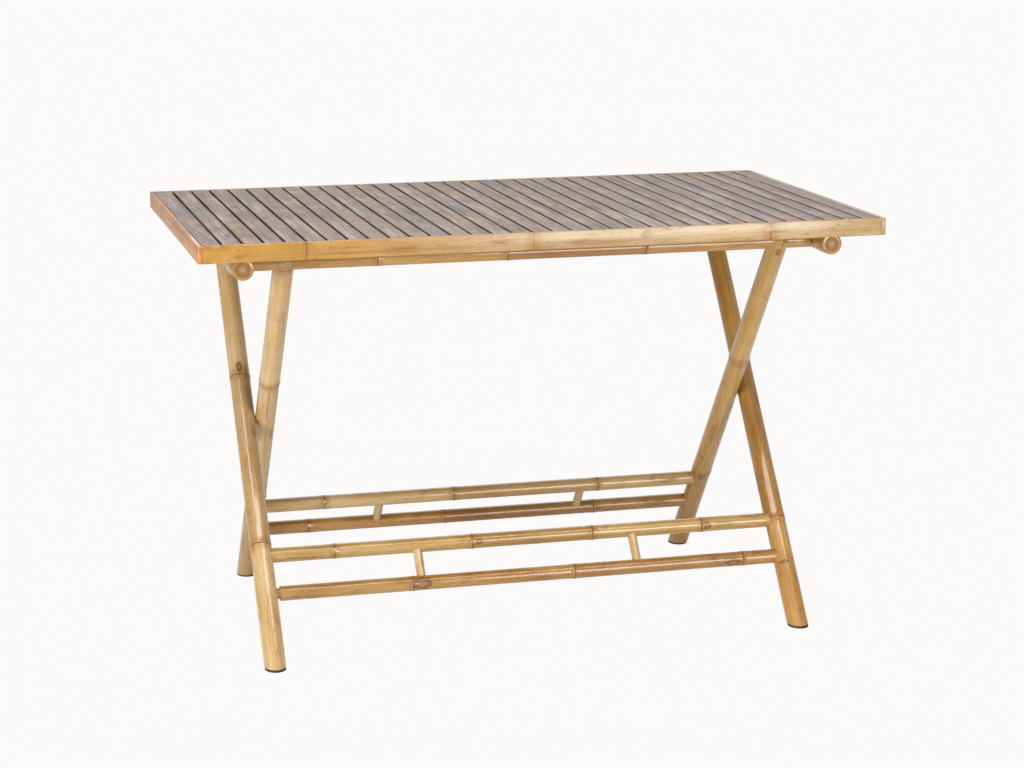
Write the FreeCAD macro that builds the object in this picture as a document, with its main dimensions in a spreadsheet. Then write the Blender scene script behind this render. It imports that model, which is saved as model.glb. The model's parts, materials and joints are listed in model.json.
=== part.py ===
import FreeCAD, Part
import os

# Folding table of bamboo poles: a slatted top on two cross poles, carried by two crossed leg frames.
# X runs along the top, Y from the front edge to the rear edge, Z up from the floor.
# The origin is on the floor, under the middle of the top. The inner frame hinges on the top at its
# front axle bar, and the outer frame hinges on the inner frame at the bolts where the legs cross.

DIMENSIONS = (
    ("top_length", 1200, "Length of the top over its edges"),
    ("top_width", 700, "Width of the top over its edges"),
    ("table_height", 750, "Floor to the top of the slats"),
    ("edge_depth", 30, "Depth of the edge strips"),
    ("edge_thick", 9, "Thickness of the front and rear edge strips"),
    ("end_thick", 8, "Thickness of the left and right edge strips"),
    ("end_round", 5, "Radius on the corners of the top"),
    ("slat_thick", 8, "Thickness of a slat"),
    ("slat_gap", 4, "Gap between two slats"),
    ("batten_width", 36, "Width of a batten under the slats"),
    ("batten_setback", 60, "Edge of the top to the batten"),
    ("crossbar_dia", 40, "Diameter of a cross pole"),
    ("crossbar_wall", 7, "Wall of a cross pole"),
    ("crossbar_setback", 80.5, "End of the top to the axis of the cross pole"),
    ("crossbar_inset", 50, "Edge of the top to the end of the cross pole"),
    ("plug_thick", 10, "Thickness of a plug in the end of a cross pole"),
    ("leg_dia", 36, "Diameter of a leg above the bolt"),
    ("foot_dia", 38, "Diameter of a leg at the floor"),
    ("leg_wall", 6, "Wall of a leg"),
    ("leg_gap", 1, "Gap between an inner and an outer leg"),
    ("side_gap", 3, "Gap between an outer leg and the cross pole"),
    ("pad_thick", 4, "Thickness of a foot pad"),
    ("pad_inset", 0.5, "Edge of the leg to the edge of its foot pad"),
    ("axle_setback", 110, "Front edge of the top to the axle bar"),
    ("top_bar_setback", 87, "Rear edge of the top to the rear top bar"),
    ("pivot_height", 377, "Floor to the bolts where the legs cross"),
    ("rail_dia", 26, "Diameter of a stretcher or a top bar"),
    ("rail_wall", 5, "Wall of a stretcher or a top bar"),
    ("tenon_dia", 18, "Diameter of a stretcher's tenon"),
    ("journal_dia", 20, "Diameter of the axle bar's ends in the cross poles"),
    ("front_upper_height", 165, "Floor to the front upper stretcher"),
    ("front_lower_height", 108, "Floor to the front lower stretcher"),
    ("rear_upper_height", 168, "Floor to the rear upper stretcher"),
    ("rear_lower_height", 112, "Floor to the rear lower stretcher"),
    ("spacer_dia", 16, "Diameter of a spacer between two stretchers"),
    ("spacer_offset", 200, "Middle of the table to a spacer"),
    ("bolt_dia", 8, "Diameter of a pivot bolt"),
    ("bolt_head_dia", 14, "Diameter of a bolt's flat head"),
    ("bolt_head_thick", 3, "Thickness of a bolt's head"),
    ("bolt_sink", 1, "Depth of a bolt's head and nut below the leg's face"),
    ("nut_radius", 7.5, "Middle to corner of a nut"),
    ("nut_thick", 4, "Thickness of a nut"),
    ("nut_room", 0.5, "Room round a nut in its pocket"),
    ("screw_dia", 4.5, "Diameter of a crossbar screw"),
    ("screw_head_dia", 9, "Diameter of a crossbar screw's head"),
    ("screw_head_thick", 3, "Thickness of a crossbar screw's head"),
    ("screw_bite", 15, "Depth of a crossbar screw in the batten"),
    ("ring_proud", 1.2, "Height of a bamboo ring above the pole"),
    ("ring_round", 3, "Radius of the bead that makes a bamboo ring"),
    ("septum_half", 4, "Half the thickness of the wall inside a bamboo ring"),
    ("solid_end", 30, "Solid stretch of a pole round a joint"),
    ("internode", 332, "Distance between two rings on a leg"),
    ("glue_gap", 0.05, "Clearance of a glued or fixed fit, on the radius"),
    ("turn_gap", 0.06, "Clearance of a turning fit, on the radius"),
    ("shoulder_gap", 1, "Clearance beside a turning shoulder"),
)
SLAT_COUNT = 34

# Places worked out from the sizes, as expressions that the objects are bound to.
HALF_LENGTH = "(Sizes.top_length / 2)"
HALF_WIDTH = "(Sizes.top_width / 2)"
UNDERSIDE = "(Sizes.table_height - Sizes.edge_depth)"
SLAT_BOTTOM = "(Sizes.table_height - Sizes.slat_thick)"
SLAT_SPAN = "(Sizes.top_length - 2 * Sizes.end_thick + Sizes.slat_gap)"
SLAT_PITCH = f"({SLAT_SPAN} / {SLAT_COUNT})"
HINGE_Z = f"({UNDERSIDE} - Sizes.crossbar_dia / 2)"
AXLE_Y = f"(Sizes.axle_setback - {HALF_WIDTH})"
TOP_BAR_Y = f"({HALF_WIDTH} - Sizes.top_bar_setback)"
LEAN = f"atan(({TOP_BAR_Y} - {AXLE_Y}) / 2 / ({HINGE_Z} - Sizes.pivot_height))"
UPPER_ARM = f"(({HINGE_Z} - Sizes.pivot_height) / cos({LEAN}))"
LEG_LENGTH = f"({HINGE_Z} / cos({LEAN}))"
TAPER_START = f"({UPPER_ARM} + 2 * Sizes.leg_dia)"
LEG_R = "(Sizes.leg_dia / 2)"
RAIL_R = "(Sizes.rail_dia / 2)"
CROSSBAR_R = "(Sizes.crossbar_dia / 2)"
CROSSBAR_X = f"({HALF_LENGTH} - Sizes.crossbar_setback)"
CROSSBAR_END = f"({HALF_WIDTH} - Sizes.crossbar_inset)"
OUTER_X = f"({CROSSBAR_X} - {CROSSBAR_R} - Sizes.side_gap - {LEG_R})"
INNER_X = f"({OUTER_X} - Sizes.leg_dia - Sizes.leg_gap)"
BATTEN_Y = f"({HALF_WIDTH} - Sizes.batten_setback - Sizes.batten_width / 2)"
SEPTUM = "Sizes.septum_half"
SOLID = "Sizes.solid_end"

# Each leg frame is drawn upright, with its top hinge at height nought, then leaned over into place.
FRAMES = {
    "inner": {"x": INNER_X, "hinge_y": AXLE_Y, "lean": f"({LEAN})"},
    "outer": {"x": OUTER_X, "hinge_y": TOP_BAR_Y, "lean": f"(-{LEAN})"},
}
SIDES = {"left": "-", "right": "+"}

doc = FreeCAD.newDocument("folding_table")
nodes = []


def make_sheet():
    """Write the driving sizes to a spreadsheet, one alias each."""
    sheet = doc.addObject("Spreadsheet::Sheet", "Sizes")
    for row, (alias, value, note) in enumerate(DIMENSIONS, start=1):
        sheet.set(f"A{row}", alias)
        sheet.set(f"B{row}", str(value))
        sheet.setAlias(f"B{row}", alias)
        sheet.set(f"C{row}", note)
    doc.recompute()
    return sheet


def bind(feature, **expressions):
    """Bind sizes of a feature to expressions on the sheet."""
    for name, expression in expressions.items():
        feature.setExpression(name, expression)
    return feature


def place(feature, x="0", y="0", z="0", axis="1; 0; 0", angle="0"):
    """Bind a feature's place, and its turn about an axis."""
    place_text = f"placement(vector({x}; {y}; {z}); rotation(vector({axis}); {angle}))"
    feature.setExpression("Placement", place_text)
    return feature


def lean_over(feature, frame):
    """Lean a piece that was drawn upright into its leg frame."""
    return place(feature, y=frame["hinge_y"], z=HINGE_Z, angle=frame["lean"])


def add_node(feature, label):
    """Name a finished sub-part."""
    feature.Label = label
    nodes.append(feature)
    return feature


def box(name, length, width, height, x, y, z):
    """A block with its low corner at x, y, z."""
    block = bind(doc.addObject("Part::Box", name), Length=length, Width=width, Height=height)
    return place(block, x, y, z)


def rod_x(name, radius, start, end, z="0", y="0"):
    """A rod along X, from start to end."""
    rod = bind(doc.addObject("Part::Cylinder", name), Radius=radius, Height=f"{end} - ({start})")
    return place(rod, start, y, z, axis="0; 1; 0", angle="90")


def rod_y(name, radius, start, end, x="0", z="0"):
    """A rod along Y, from start to end."""
    rod = bind(doc.addObject("Part::Cylinder", name), Radius=radius, Height=f"{end} - ({start})")
    return place(rod, x, start, z, angle="-90")


def rod_z(name, radius, start, end, x="0", y="0"):
    """A rod along Z, from start to end."""
    rod = bind(doc.addObject("Part::Cylinder", name), Radius=radius, Height=f"{end} - ({start})")
    return place(rod, x, y, start)


def fuse(name, shapes):
    """Join touching solids into one."""
    joined = doc.addObject("Part::MultiFuse", name)
    joined.Shapes = shapes
    return joined


def cut(name, base, tools):
    """Take the tools away from the base."""
    result = doc.addObject("Part::Cut", name)
    result.Base = base
    result.Tool = tools[0] if len(tools) == 1 else fuse(f"{name}_tools", tools)
    return result


def group(name, shapes):
    """Keep like solids together in one node."""
    compound = doc.addObject("Part::Compound", name)
    compound.Links = shapes
    return compound


def ring(name, radius, x="0", y="0", z="0", axis="1; 0; 0", angle="0"):
    """The raised bead of a bamboo ring round a pole along Z, turned by the angle."""
    bead = doc.addObject("Part::Torus", name)
    bind(bead, Radius1=f"{radius} + Sizes.ring_proud - Sizes.ring_round", Radius2="Sizes.ring_round")
    return place(bead, x, y, z, axis, angle)


def hollow_spans(stops):
    """The open stretches between the solid stops of a pole, each stop a middle and a half width."""
    spans = []
    for (low, low_half), (high, high_half) in zip(stops, stops[1:]):
        spans.append((f"({low} + {low_half})", f"({high} - {high_half})"))
    return spans


def spread(reach, shares):
    """Where the bamboo rings of a pole fall, as shares of its reach from the middle to one end."""
    return [f"({share} * {reach})" for share in shares]


def leg_body(name, x, extra):
    """A leg's outer form drawn upright: a domed top, a straight stretch and a taper to the foot."""
    radius = f"({LEG_R} + {extra})"
    foot_radius = f"(Sizes.foot_dia / 2 + {extra})"
    overrun = f"({LEG_LENGTH} + Sizes.foot_dia)"
    dome = place(bind(doc.addObject("Part::Sphere", f"{name}_dome"), Radius=radius), x)
    shaft = rod_z(f"{name}_shaft", radius, f"-{TAPER_START}", "0", x)
    taper = doc.addObject("Part::Cone", f"{name}_taper")
    bind(taper, Radius1=foot_radius, Radius2=radius, Height=f"{overrun} - {TAPER_START}")
    place(taper, x, z=f"-{overrun}")
    return fuse(f"{name}_body", [dome, shaft, taper])


def floor_tool(name, x, lean, floor_height):
    """A disc that takes away all of a leg below a height above the floor."""
    disc = doc.addObject("Part::Cylinder", name)
    bind(disc, Radius="2 * Sizes.foot_dia", Height="2 * Sizes.foot_dia")
    return place(disc, x, z=f"-({HINGE_Z} - {floor_height}) / cos({LEAN})", angle=f"180 deg - {lean}")


def along_leg(height):
    """How far a height above the floor lies down the leg from its hinge, as a low place on it."""
    return f"(-({HINGE_Z} - {height}) / cos({LEAN}))"


def make_slats():
    """The slats, front to rear between the edge strips."""
    for index in range(SLAT_COUNT):
        label = f"slat_{index + 1:02d}"
        start = f"Sizes.end_thick - {HALF_LENGTH} + {index} * {SLAT_PITCH}"
        slat = box(f"{label}_box", f"{SLAT_PITCH} - Sizes.slat_gap", "Sizes.top_width - 2 * Sizes.edge_thick",
                   "Sizes.slat_thick", start, f"Sizes.edge_thick - {HALF_WIDTH}", SLAT_BOTTOM)
        add_node(slat, label)


def make_edges():
    """The four edge strips. The left and right ones cover the ends of the other two."""
    inside = "Sizes.top_length - 2 * Sizes.end_thick"
    low_x = f"Sizes.end_thick - {HALF_LENGTH}"
    front = box("front_box", inside, "Sizes.edge_thick", "Sizes.edge_depth", low_x, f"-{HALF_WIDTH}", UNDERSIDE)
    add_node(front, "front_edge_strip")
    rear = box("rear_box", inside, "Sizes.edge_thick", "Sizes.edge_depth", low_x,
               f"{HALF_WIDTH} - Sizes.edge_thick", UNDERSIDE)
    add_node(rear, "rear_edge_strip")
    starts = {"left": f"-{HALF_LENGTH}", "right": f"{HALF_LENGTH} - Sizes.end_thick"}
    for side, start in starts.items():
        block = box(f"{side}_end_box", "Sizes.end_thick", "Sizes.top_width", "Sizes.edge_depth",
                    start, f"-{HALF_WIDTH}", UNDERSIDE)
        doc.recompute()
        rounded = doc.addObject("Part::Fillet", f"{side}_end_rounded")
        rounded.Base = block
        rounded.Edges = outer_corners(block.Shape, side)
        add_node(rounded, f"{side}_edge_strip")


def outer_corners(shape, side):
    """The two upright edges on the outside of an end strip, with the corner radius."""
    radius = min(float(sheet.end_round), 0.9 * float(sheet.end_thick))
    outside = shape.BoundBox.XMin if side == "left" else shape.BoundBox.XMax
    corners = []
    for number, edge in enumerate(shape.Edges, start=1):
        bounds = edge.BoundBox
        upright = bounds.ZLength > bounds.XLength + bounds.YLength
        if upright and abs(bounds.XMin - outside) < 0.01:
            corners.append((number, radius, radius))
    return corners


def screw_places():
    """Where the screws go up through the cross poles into the battens."""
    for side, x_sign in SIDES.items():
        for end, y_sign in (("front", "-"), ("rear", "+")):
            yield side, end, f"{x_sign}{CROSSBAR_X}", f"{y_sign}{BATTEN_Y}"


def make_battens():
    """The two battens that the slats are glued to, with pilot holes for the screws."""
    inside = "Sizes.top_length - 2 * Sizes.end_thick"
    for end, y_sign in (("front", "-"), ("rear", "+")):
        batten = box(f"{end}_batten_box", inside, "Sizes.batten_width", "Sizes.edge_depth - Sizes.slat_thick",
                     f"Sizes.end_thick - {HALF_LENGTH}", f"{y_sign}{BATTEN_Y} - Sizes.batten_width / 2", UNDERSIDE)
        pilots = []
        for side, screw_end, x, y in screw_places():
            if screw_end == end:
                top = f"({UNDERSIDE} + Sizes.screw_bite + Sizes.shoulder_gap)"
                pilots.append(rod_z(f"{end}_{side}_pilot", "Sizes.screw_dia / 2 + Sizes.glue_gap",
                                    f"{UNDERSIDE} - 1", top, x, y))
        add_node(cut(f"{end}_batten_cut", batten, pilots), f"{end}_batten")


def make_crossbars():
    """The two poles under the top, with a bore for the axle bar and plugs in their ends."""
    plugs = []
    screws = []
    plug_depth = "(Sizes.plug_thick + Sizes.bolt_sink)"
    core_radius = f"({CROSSBAR_R} - Sizes.crossbar_wall)"
    for side, sign in SIDES.items():
        x = f"{sign}{CROSSBAR_X}"
        pole = rod_y(f"{side}_pole", CROSSBAR_R, f"-{CROSSBAR_END}", CROSSBAR_END, x, HINGE_Z)
        stops = [(f"-{CROSSBAR_END}", "0"), (f"-{CROSSBAR_END} + {plug_depth} + {SEPTUM}", SEPTUM)]
        stops.append((AXLE_Y, SOLID))
        stops.append((f"({AXLE_Y} + Sizes.internode)", SEPTUM))
        stops.append((f"{CROSSBAR_END} - {plug_depth} - {SEPTUM}", SEPTUM))
        stops.append((CROSSBAR_END, "0"))
        tools = []
        for number, (start, end) in enumerate(hollow_spans(stops)):
            tools.append(rod_y(f"{side}_pole_hollow_{number}", core_radius, start, end, x, HINGE_Z))
        bore_end = f"({CROSSBAR_X} + {RAIL_R} / 2)"
        bore = [f"{CROSSBAR_X} - Sizes.crossbar_dia", bore_end]
        if side == "left":
            bore = [f"-{bore_end}", f"Sizes.crossbar_dia - {CROSSBAR_X}"]
        tools.append(rod_x(f"{side}_journal_bore", "Sizes.journal_dia / 2 + Sizes.turn_gap",
                           bore[0], bore[1], HINGE_Z, AXLE_Y))
        for end, y_sign in (("front", "-"), ("rear", "+")):
            y = f"{y_sign}{BATTEN_Y}"
            bottom = f"({HINGE_Z} - {CROSSBAR_R})"
            tools.append(rod_z(f"{side}_{end}_screw_hole", "Sizes.screw_dia / 2 + Sizes.glue_gap",
                               f"{bottom} - 1", f"{UNDERSIDE} + 1", x, y))
            tools.append(rod_z(f"{side}_{end}_screw_sink", "Sizes.screw_head_dia / 2 + Sizes.glue_gap",
                               f"{bottom} - 1", f"({bottom} + Sizes.screw_head_thick + Sizes.bolt_sink)", x, y))
            head_low = f"({bottom} + Sizes.bolt_sink)"
            head_top = f"({head_low} + Sizes.screw_head_thick)"
            head = rod_z(f"{side}_{end}_screw_head", "Sizes.screw_head_dia / 2", head_low, head_top, x, y)
            shank = rod_z(f"{side}_{end}_screw_shank", "Sizes.screw_dia / 2", head_low,
                          f"({UNDERSIDE} + Sizes.screw_bite)", x, y)
            screws.append(fuse(f"{side}_{end}_screw", [head, shank]))
            low = f"-{CROSSBAR_END} + Sizes.bolt_sink"
            if end == "rear":
                low = f"{CROSSBAR_END} - Sizes.bolt_sink - Sizes.plug_thick"
            plugs.append(rod_y(f"{side}_{end}_plug", f"{core_radius} - Sizes.glue_gap", f"({low})",
                               f"({low} + Sizes.plug_thick)", x, HINGE_Z))
        add_node(cut(f"{side}_pole_cut", pole, tools), f"{side}_crossbar")
    add_node(group("plug_group", plugs), "crossbar_plugs")
    add_node(group("screw_group", screws), "crossbar_screws")


def make_leg(frame_name, side, ring_offset, rail_heights):
    """One leg, with its hinge bore, bolt hole and stretcher mortises. Its first ring lies above the bolt."""
    frame = FRAMES[frame_name]
    sign = SIDES[side]
    name = f"{frame_name}_{side}_leg"
    x = f"{sign}{frame['x']}"
    inward = "-" if side == "right" else "+"
    pivot = f"(-{UPPER_ARM})"
    upper_ring = f"({pivot} + {ring_offset})"
    lower_ring = f"({upper_ring} - Sizes.internode)"
    body = leg_body(name, x, "0")
    bead = ring(f"{name}_bead", LEG_R, x, z=upper_ring)
    whole = fuse(f"{name}_whole", [body, bead])
    stops = [(f"-{LEG_LENGTH} + Sizes.foot_dia", SOLID), (lower_ring, SEPTUM), (pivot, SOLID)]
    stops += [(upper_ring, SEPTUM), ("0", SOLID)]
    tools = []
    for number, (start, end) in enumerate(hollow_spans(stops)):
        tools.append(rod_z(f"{name}_hollow_{number}", f"{LEG_R} - Sizes.leg_wall", start, end, x))
    tools.append(floor_tool(f"{name}_floor", x, frame["lean"], "Sizes.pad_thick"))
    tools.append(rod_x(f"{name}_bar_bore", f"{RAIL_R} + Sizes.glue_gap", f"({x} - Sizes.leg_dia)",
                       f"({x} + Sizes.leg_dia)"))
    tools.append(rod_x(f"{name}_bolt_hole", "Sizes.bolt_dia / 2 + Sizes.turn_gap", f"({x} - Sizes.leg_dia)",
                       f"({x} + Sizes.leg_dia)", pivot))
    outside = f"({x} {sign} ({LEG_R} + 1))"
    inside = f"({x} {inward} ({LEG_R} + 1))"
    if frame_name == "outer":
        depth = f"({x} {sign} ({LEG_R} - Sizes.bolt_sink - Sizes.bolt_head_thick))"
        ends = sorted_ends(side, depth, outside)
        tools.append(rod_x(f"{name}_head_pocket", "Sizes.bolt_head_dia / 2 + Sizes.glue_gap", *ends, pivot))
    else:
        depth = f"({x} {inward} ({LEG_R} - Sizes.bolt_sink - Sizes.nut_thick - Sizes.shoulder_gap))"
        ends = sorted_ends(side, inside, depth)
        tools.append(rod_x(f"{name}_nut_pocket", "Sizes.nut_radius + Sizes.nut_room", *ends, pivot))
    for number, height in enumerate(rail_heights):
        ends = sorted_ends(side, inside, f"({x} {sign} Sizes.shoulder_gap)")
        tools.append(rod_x(f"{name}_mortise_{number}", "Sizes.tenon_dia / 2 + Sizes.glue_gap", *ends,
                           along_leg(height)))
    leg = cut(f"{name}_cut", whole, tools)
    add_node(lean_over(leg, frame), f"{frame_name}_leg_{side}")


def sorted_ends(side, towards_middle, towards_end):
    """Two places along X in rising order: on the left the order turns round."""
    if side == "right":
        return towards_middle, towards_end
    return towards_end, towards_middle


def make_stretcher(frame_name, label, height, ring_shares):
    """A stretcher coped to both legs of its frame, with a tenon into each."""
    frame = FRAMES[frame_name]
    leg_x = frame["x"]
    ring_places = spread(leg_x, ring_shares)
    z = along_leg(height)
    pole = rod_x(f"{label}_pole", RAIL_R, f"-{leg_x}", leg_x, z)
    beads = []
    for number, place_x in enumerate(ring_places):
        beads.append(ring(f"{label}_bead_{number}", RAIL_R, place_x, z=z, axis="0; 1; 0", angle="90"))
    whole = fuse(f"{label}_whole", [pole] + beads)
    legs = [leg_body(f"{label}_{side}_cope", f"{sign}{leg_x}", "Sizes.glue_gap") for side, sign in SIDES.items()]
    coped = cut(f"{label}_coped", whole, legs)
    tenon = rod_x(f"{label}_tenon", "Sizes.tenon_dia / 2", f"-{leg_x}", leg_x, z)
    solid = fuse(f"{label}_solid", [coped, tenon])
    stops = [(f"-{leg_x} + {LEG_R}", SOLID)]
    stops += [(place_x, SEPTUM) for place_x in ring_places]
    stops.append((f"{leg_x} - {LEG_R}", SOLID))
    tools = []
    for number, (start, end) in enumerate(hollow_spans(stops)):
        tools.append(rod_x(f"{label}_hollow_{number}", f"{RAIL_R} - Sizes.rail_wall", start, end, z))
    add_node(lean_over(cut(f"{label}_cut", solid, tools), frame), label)


def make_spacers(frame_name, label, upper_height, lower_height):
    """The two short spacers between a pair of stretchers, coped to both."""
    frame = FRAMES[frame_name]
    pieces = []
    for side, sign in SIDES.items():
        x = f"{sign}Sizes.spacer_offset"
        rod = rod_z(f"{label}_{side}_rod", "Sizes.spacer_dia / 2", along_leg(lower_height),
                    along_leg(upper_height), x)
        copes = []
        for number, height in enumerate((lower_height, upper_height)):
            copes.append(rod_x(f"{label}_{side}_cope_{number}", f"{RAIL_R} + Sizes.glue_gap",
                               f"({x} - Sizes.spacer_dia)", f"({x} + Sizes.spacer_dia)", along_leg(height)))
        pieces.append(cut(f"{label}_{side}_cut", rod, copes))
    add_node(lean_over(group(f"{label}_group", pieces), frame), label)


def make_foot_pads(frame_name, label):
    """The thin pads under the two feet of a frame."""
    frame = FRAMES[frame_name]
    pads = []
    for side, sign in SIDES.items():
        x = f"{sign}{frame['x']}"
        foot = leg_body(f"{label}_{side}_foot", x, "(-Sizes.pad_inset)")
        slab = doc.addObject("Part::Cylinder", f"{label}_{side}_slab")
        bind(slab, Radius="2 * Sizes.foot_dia", Height="Sizes.pad_thick")
        place(slab, x, z=f"-{LEG_LENGTH}", angle=f"-{frame['lean']}")
        pad = doc.addObject("Part::Common", f"{label}_{side}_pad")
        pad.Base = foot
        pad.Tool = slab
        pads.append(pad)
    add_node(lean_over(group(f"{label}_group", pads), frame), label)


def make_axle_bar():
    """The front bar that carries the inner legs and turns in the cross poles."""
    frame = FRAMES["inner"]
    shoulder = f"({CROSSBAR_X} - {CROSSBAR_R} - Sizes.shoulder_gap)"
    journal_end = f"({CROSSBAR_X} + {RAIL_R} / 2 - Sizes.shoulder_gap)"
    pole = rod_x("axle_pole", RAIL_R, f"-{shoulder}", shoulder)
    journal = rod_x("axle_journal", "Sizes.journal_dia / 2", f"-{journal_end}", journal_end)
    ring_places = spread(INNER_X, (-0.641, -0.125, 0.437))
    beads = []
    for number, place_x in enumerate(ring_places):
        beads.append(ring(f"axle_bead_{number}", RAIL_R, place_x, axis="0; 1; 0", angle="90"))
    stops = [(f"-{INNER_X} + Sizes.leg_dia", SOLID)]
    stops += [(place_x, SEPTUM) for place_x in ring_places]
    stops.append((f"{INNER_X} - Sizes.leg_dia", SOLID))
    tools = []
    for number, (start, end) in enumerate(hollow_spans(stops)):
        tools.append(rod_x(f"axle_hollow_{number}", f"{RAIL_R} - Sizes.rail_wall", start, end))
    whole = fuse("axle_whole", [pole, journal] + beads)
    add_node(lean_over(cut("axle_cut", whole, tools), frame), "front_axle_bar")


def make_top_bar():
    """The bar across the tops of the outer legs, that the rear of the top rests on."""
    frame = FRAMES["outer"]
    end = f"({OUTER_X} + {LEG_R} * 2 / 3)"
    pole = rod_x("top_bar_pole", RAIL_R, f"-{end}", end)
    stops = [(f"-{OUTER_X} + Sizes.leg_dia", SOLID)]
    stops += [(place_x, SEPTUM) for place_x in spread(OUTER_X, (-0.242, 0.293))]
    stops.append((f"{OUTER_X} - Sizes.leg_dia", SOLID))
    tools = []
    for number, (start, stop) in enumerate(hollow_spans(stops)):
        tools.append(rod_x(f"top_bar_hollow_{number}", f"{RAIL_R} - Sizes.rail_wall", start, stop))
    add_node(lean_over(cut("top_bar_cut", pole, tools), frame), "rear_top_bar")


def make_pivot_bolts():
    """The bolts and nuts that the crossed legs turn on."""
    frame = FRAMES["outer"]
    z = f"(-{UPPER_ARM})"
    bolts = []
    nuts = []
    for side, sign in SIDES.items():
        inward = "-" if side == "right" else "+"
        outer_x = f"{sign}{OUTER_X}"
        inner_x = f"{sign}{INNER_X}"
        head_face = f"({outer_x} {sign} ({LEG_R} - Sizes.bolt_sink))"
        head_back = f"({head_face} {inward} Sizes.bolt_head_thick)"
        tip = f"({inner_x} {inward} ({LEG_R} - Sizes.bolt_sink))"
        nut_back = f"({tip} {sign} Sizes.nut_thick)"
        head = rod_x(f"{side}_bolt_head", "Sizes.bolt_head_dia / 2", *sorted_ends(side, head_back, head_face), z)
        shank = rod_x(f"{side}_bolt_shank", "Sizes.bolt_dia / 2", *sorted_ends(side, tip, head_face), z)
        bolts.append(fuse(f"{side}_bolt", [head, shank]))
        start, end = sorted_ends(side, tip, nut_back)
        hexagon = bind(doc.addObject("Part::Prism", f"{side}_nut_hexagon"), Circumradius="Sizes.nut_radius",
                       Height="Sizes.nut_thick")
        hexagon.Polygon = 6
        place(hexagon, start, z=z, axis="0; 1; 0", angle="90")
        thread = rod_x(f"{side}_nut_thread", "Sizes.bolt_dia / 2 + Sizes.glue_gap", f"({start} - 1)",
                       f"({end} + 1)", z)
        nuts.append(cut(f"{side}_nut", hexagon, [thread]))
    add_node(lean_over(group("bolt_group", bolts), frame), "pivot_bolts")
    add_node(lean_over(group("nut_group", nuts), frame), "pivot_nuts")


def check_document():
    """Stop if any object failed or any sub-part is not a sound solid."""
    for item in doc.Objects:
        if "Invalid" in item.State or "Error" in item.State:
            raise RuntimeError(f"{item.Name} failed: {item.State}")
    for item in nodes:
        if item.Shape.isNull() or not item.Shape.isValid() or not item.Shape.Solids:
            raise RuntimeError(f"{item.Label} has no valid solid")


def write_parts():
    """Write each sub-part to a STEP file with its own name."""
    os.makedirs("parts", exist_ok=True)
    for item in nodes:
        item.Shape.exportStep(f"parts/{item.Label}.step")
    print(f"{len(nodes)} sub-parts written")


sheet = make_sheet()
make_slats()
make_edges()
make_battens()
make_crossbars()
make_leg("inner", "left", 103, ("Sizes.rear_upper_height", "Sizes.rear_lower_height"))
make_leg("inner", "right", 95, ("Sizes.rear_upper_height", "Sizes.rear_lower_height"))
make_leg("outer", "left", 82, ("Sizes.front_upper_height", "Sizes.front_lower_height"))
make_leg("outer", "right", 63, ("Sizes.front_upper_height", "Sizes.front_lower_height"))
make_axle_bar()
make_stretcher("inner", "rear_upper_stretcher", "Sizes.rear_upper_height", (-0.7, -0.131, 0.523))
make_stretcher("inner", "rear_lower_stretcher", "Sizes.rear_lower_height", (-0.754, -0.149, 0.53))
make_spacers("inner", "rear_spacers", "Sizes.rear_upper_height", "Sizes.rear_lower_height")
make_foot_pads("inner", "inner_foot_pads")
make_top_bar()
make_stretcher("outer", "front_upper_stretcher", "Sizes.front_upper_height", (-0.731, -0.209, 0.259, 0.694))
make_stretcher("outer", "front_lower_stretcher", "Sizes.front_lower_height", (-0.456, 0.165, 0.832))
make_spacers("outer", "front_spacers", "Sizes.front_upper_height", "Sizes.front_lower_height")
make_foot_pads("outer", "outer_foot_pads")
make_pivot_bolts()
doc.recompute()
check_document()
write_parts()
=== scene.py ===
import json
import math

import bmesh
import bpy
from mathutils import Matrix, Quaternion, Vector


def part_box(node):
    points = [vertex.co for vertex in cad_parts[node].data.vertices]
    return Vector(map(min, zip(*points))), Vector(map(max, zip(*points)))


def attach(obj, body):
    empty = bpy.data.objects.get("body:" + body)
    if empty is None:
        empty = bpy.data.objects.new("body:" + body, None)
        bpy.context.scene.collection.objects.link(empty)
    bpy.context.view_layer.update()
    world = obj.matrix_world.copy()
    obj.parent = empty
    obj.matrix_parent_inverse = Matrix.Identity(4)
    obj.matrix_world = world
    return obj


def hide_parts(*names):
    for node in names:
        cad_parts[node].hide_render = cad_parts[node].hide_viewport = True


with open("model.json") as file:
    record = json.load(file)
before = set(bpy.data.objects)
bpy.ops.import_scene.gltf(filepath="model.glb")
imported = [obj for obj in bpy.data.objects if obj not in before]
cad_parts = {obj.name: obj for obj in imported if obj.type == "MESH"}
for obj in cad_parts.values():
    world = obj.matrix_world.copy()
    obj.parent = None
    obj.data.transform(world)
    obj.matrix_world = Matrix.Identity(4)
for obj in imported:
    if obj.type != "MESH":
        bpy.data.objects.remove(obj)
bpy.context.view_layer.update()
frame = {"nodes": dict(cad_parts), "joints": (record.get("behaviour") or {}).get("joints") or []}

bl_info = {
    "name": "Folding bamboo table",
    "version": (1, 0, 0),
    "blender": (4, 5, 0),
    "location": "View3D > Sidebar > Bamboo table",
    "description": "Builds the looks of a folding bamboo table round its frame",
    "category": "Add Mesh",
}

# The hinges of the frame say where the two crossed leg frames stand.
joints = {joint["name"]: joint for joint in frame["joints"]}
HINGE = Vector(joints["inner_frame_swing"]["pos_m"])
PIVOT = Vector(joints["leg_fold"]["pos_m"])
TOP_BAR = Vector((0, 2 * PIVOT.y - HINGE.y, HINGE.z))
LEAN = math.atan2(PIVOT.y - HINGE.y, HINGE.z - PIVOT.z)
UPPER_ARM = (PIVOT - HINGE).length
LEG_LENGTH = HINGE.z / math.cos(LEAN)
SLATS = sorted(name for name in frame["nodes"] if name.startswith("slat_"))
ALONG_X = (0, math.radians(90), 0)
ALONG_Y = (math.radians(-90), 0, 0)

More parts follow.
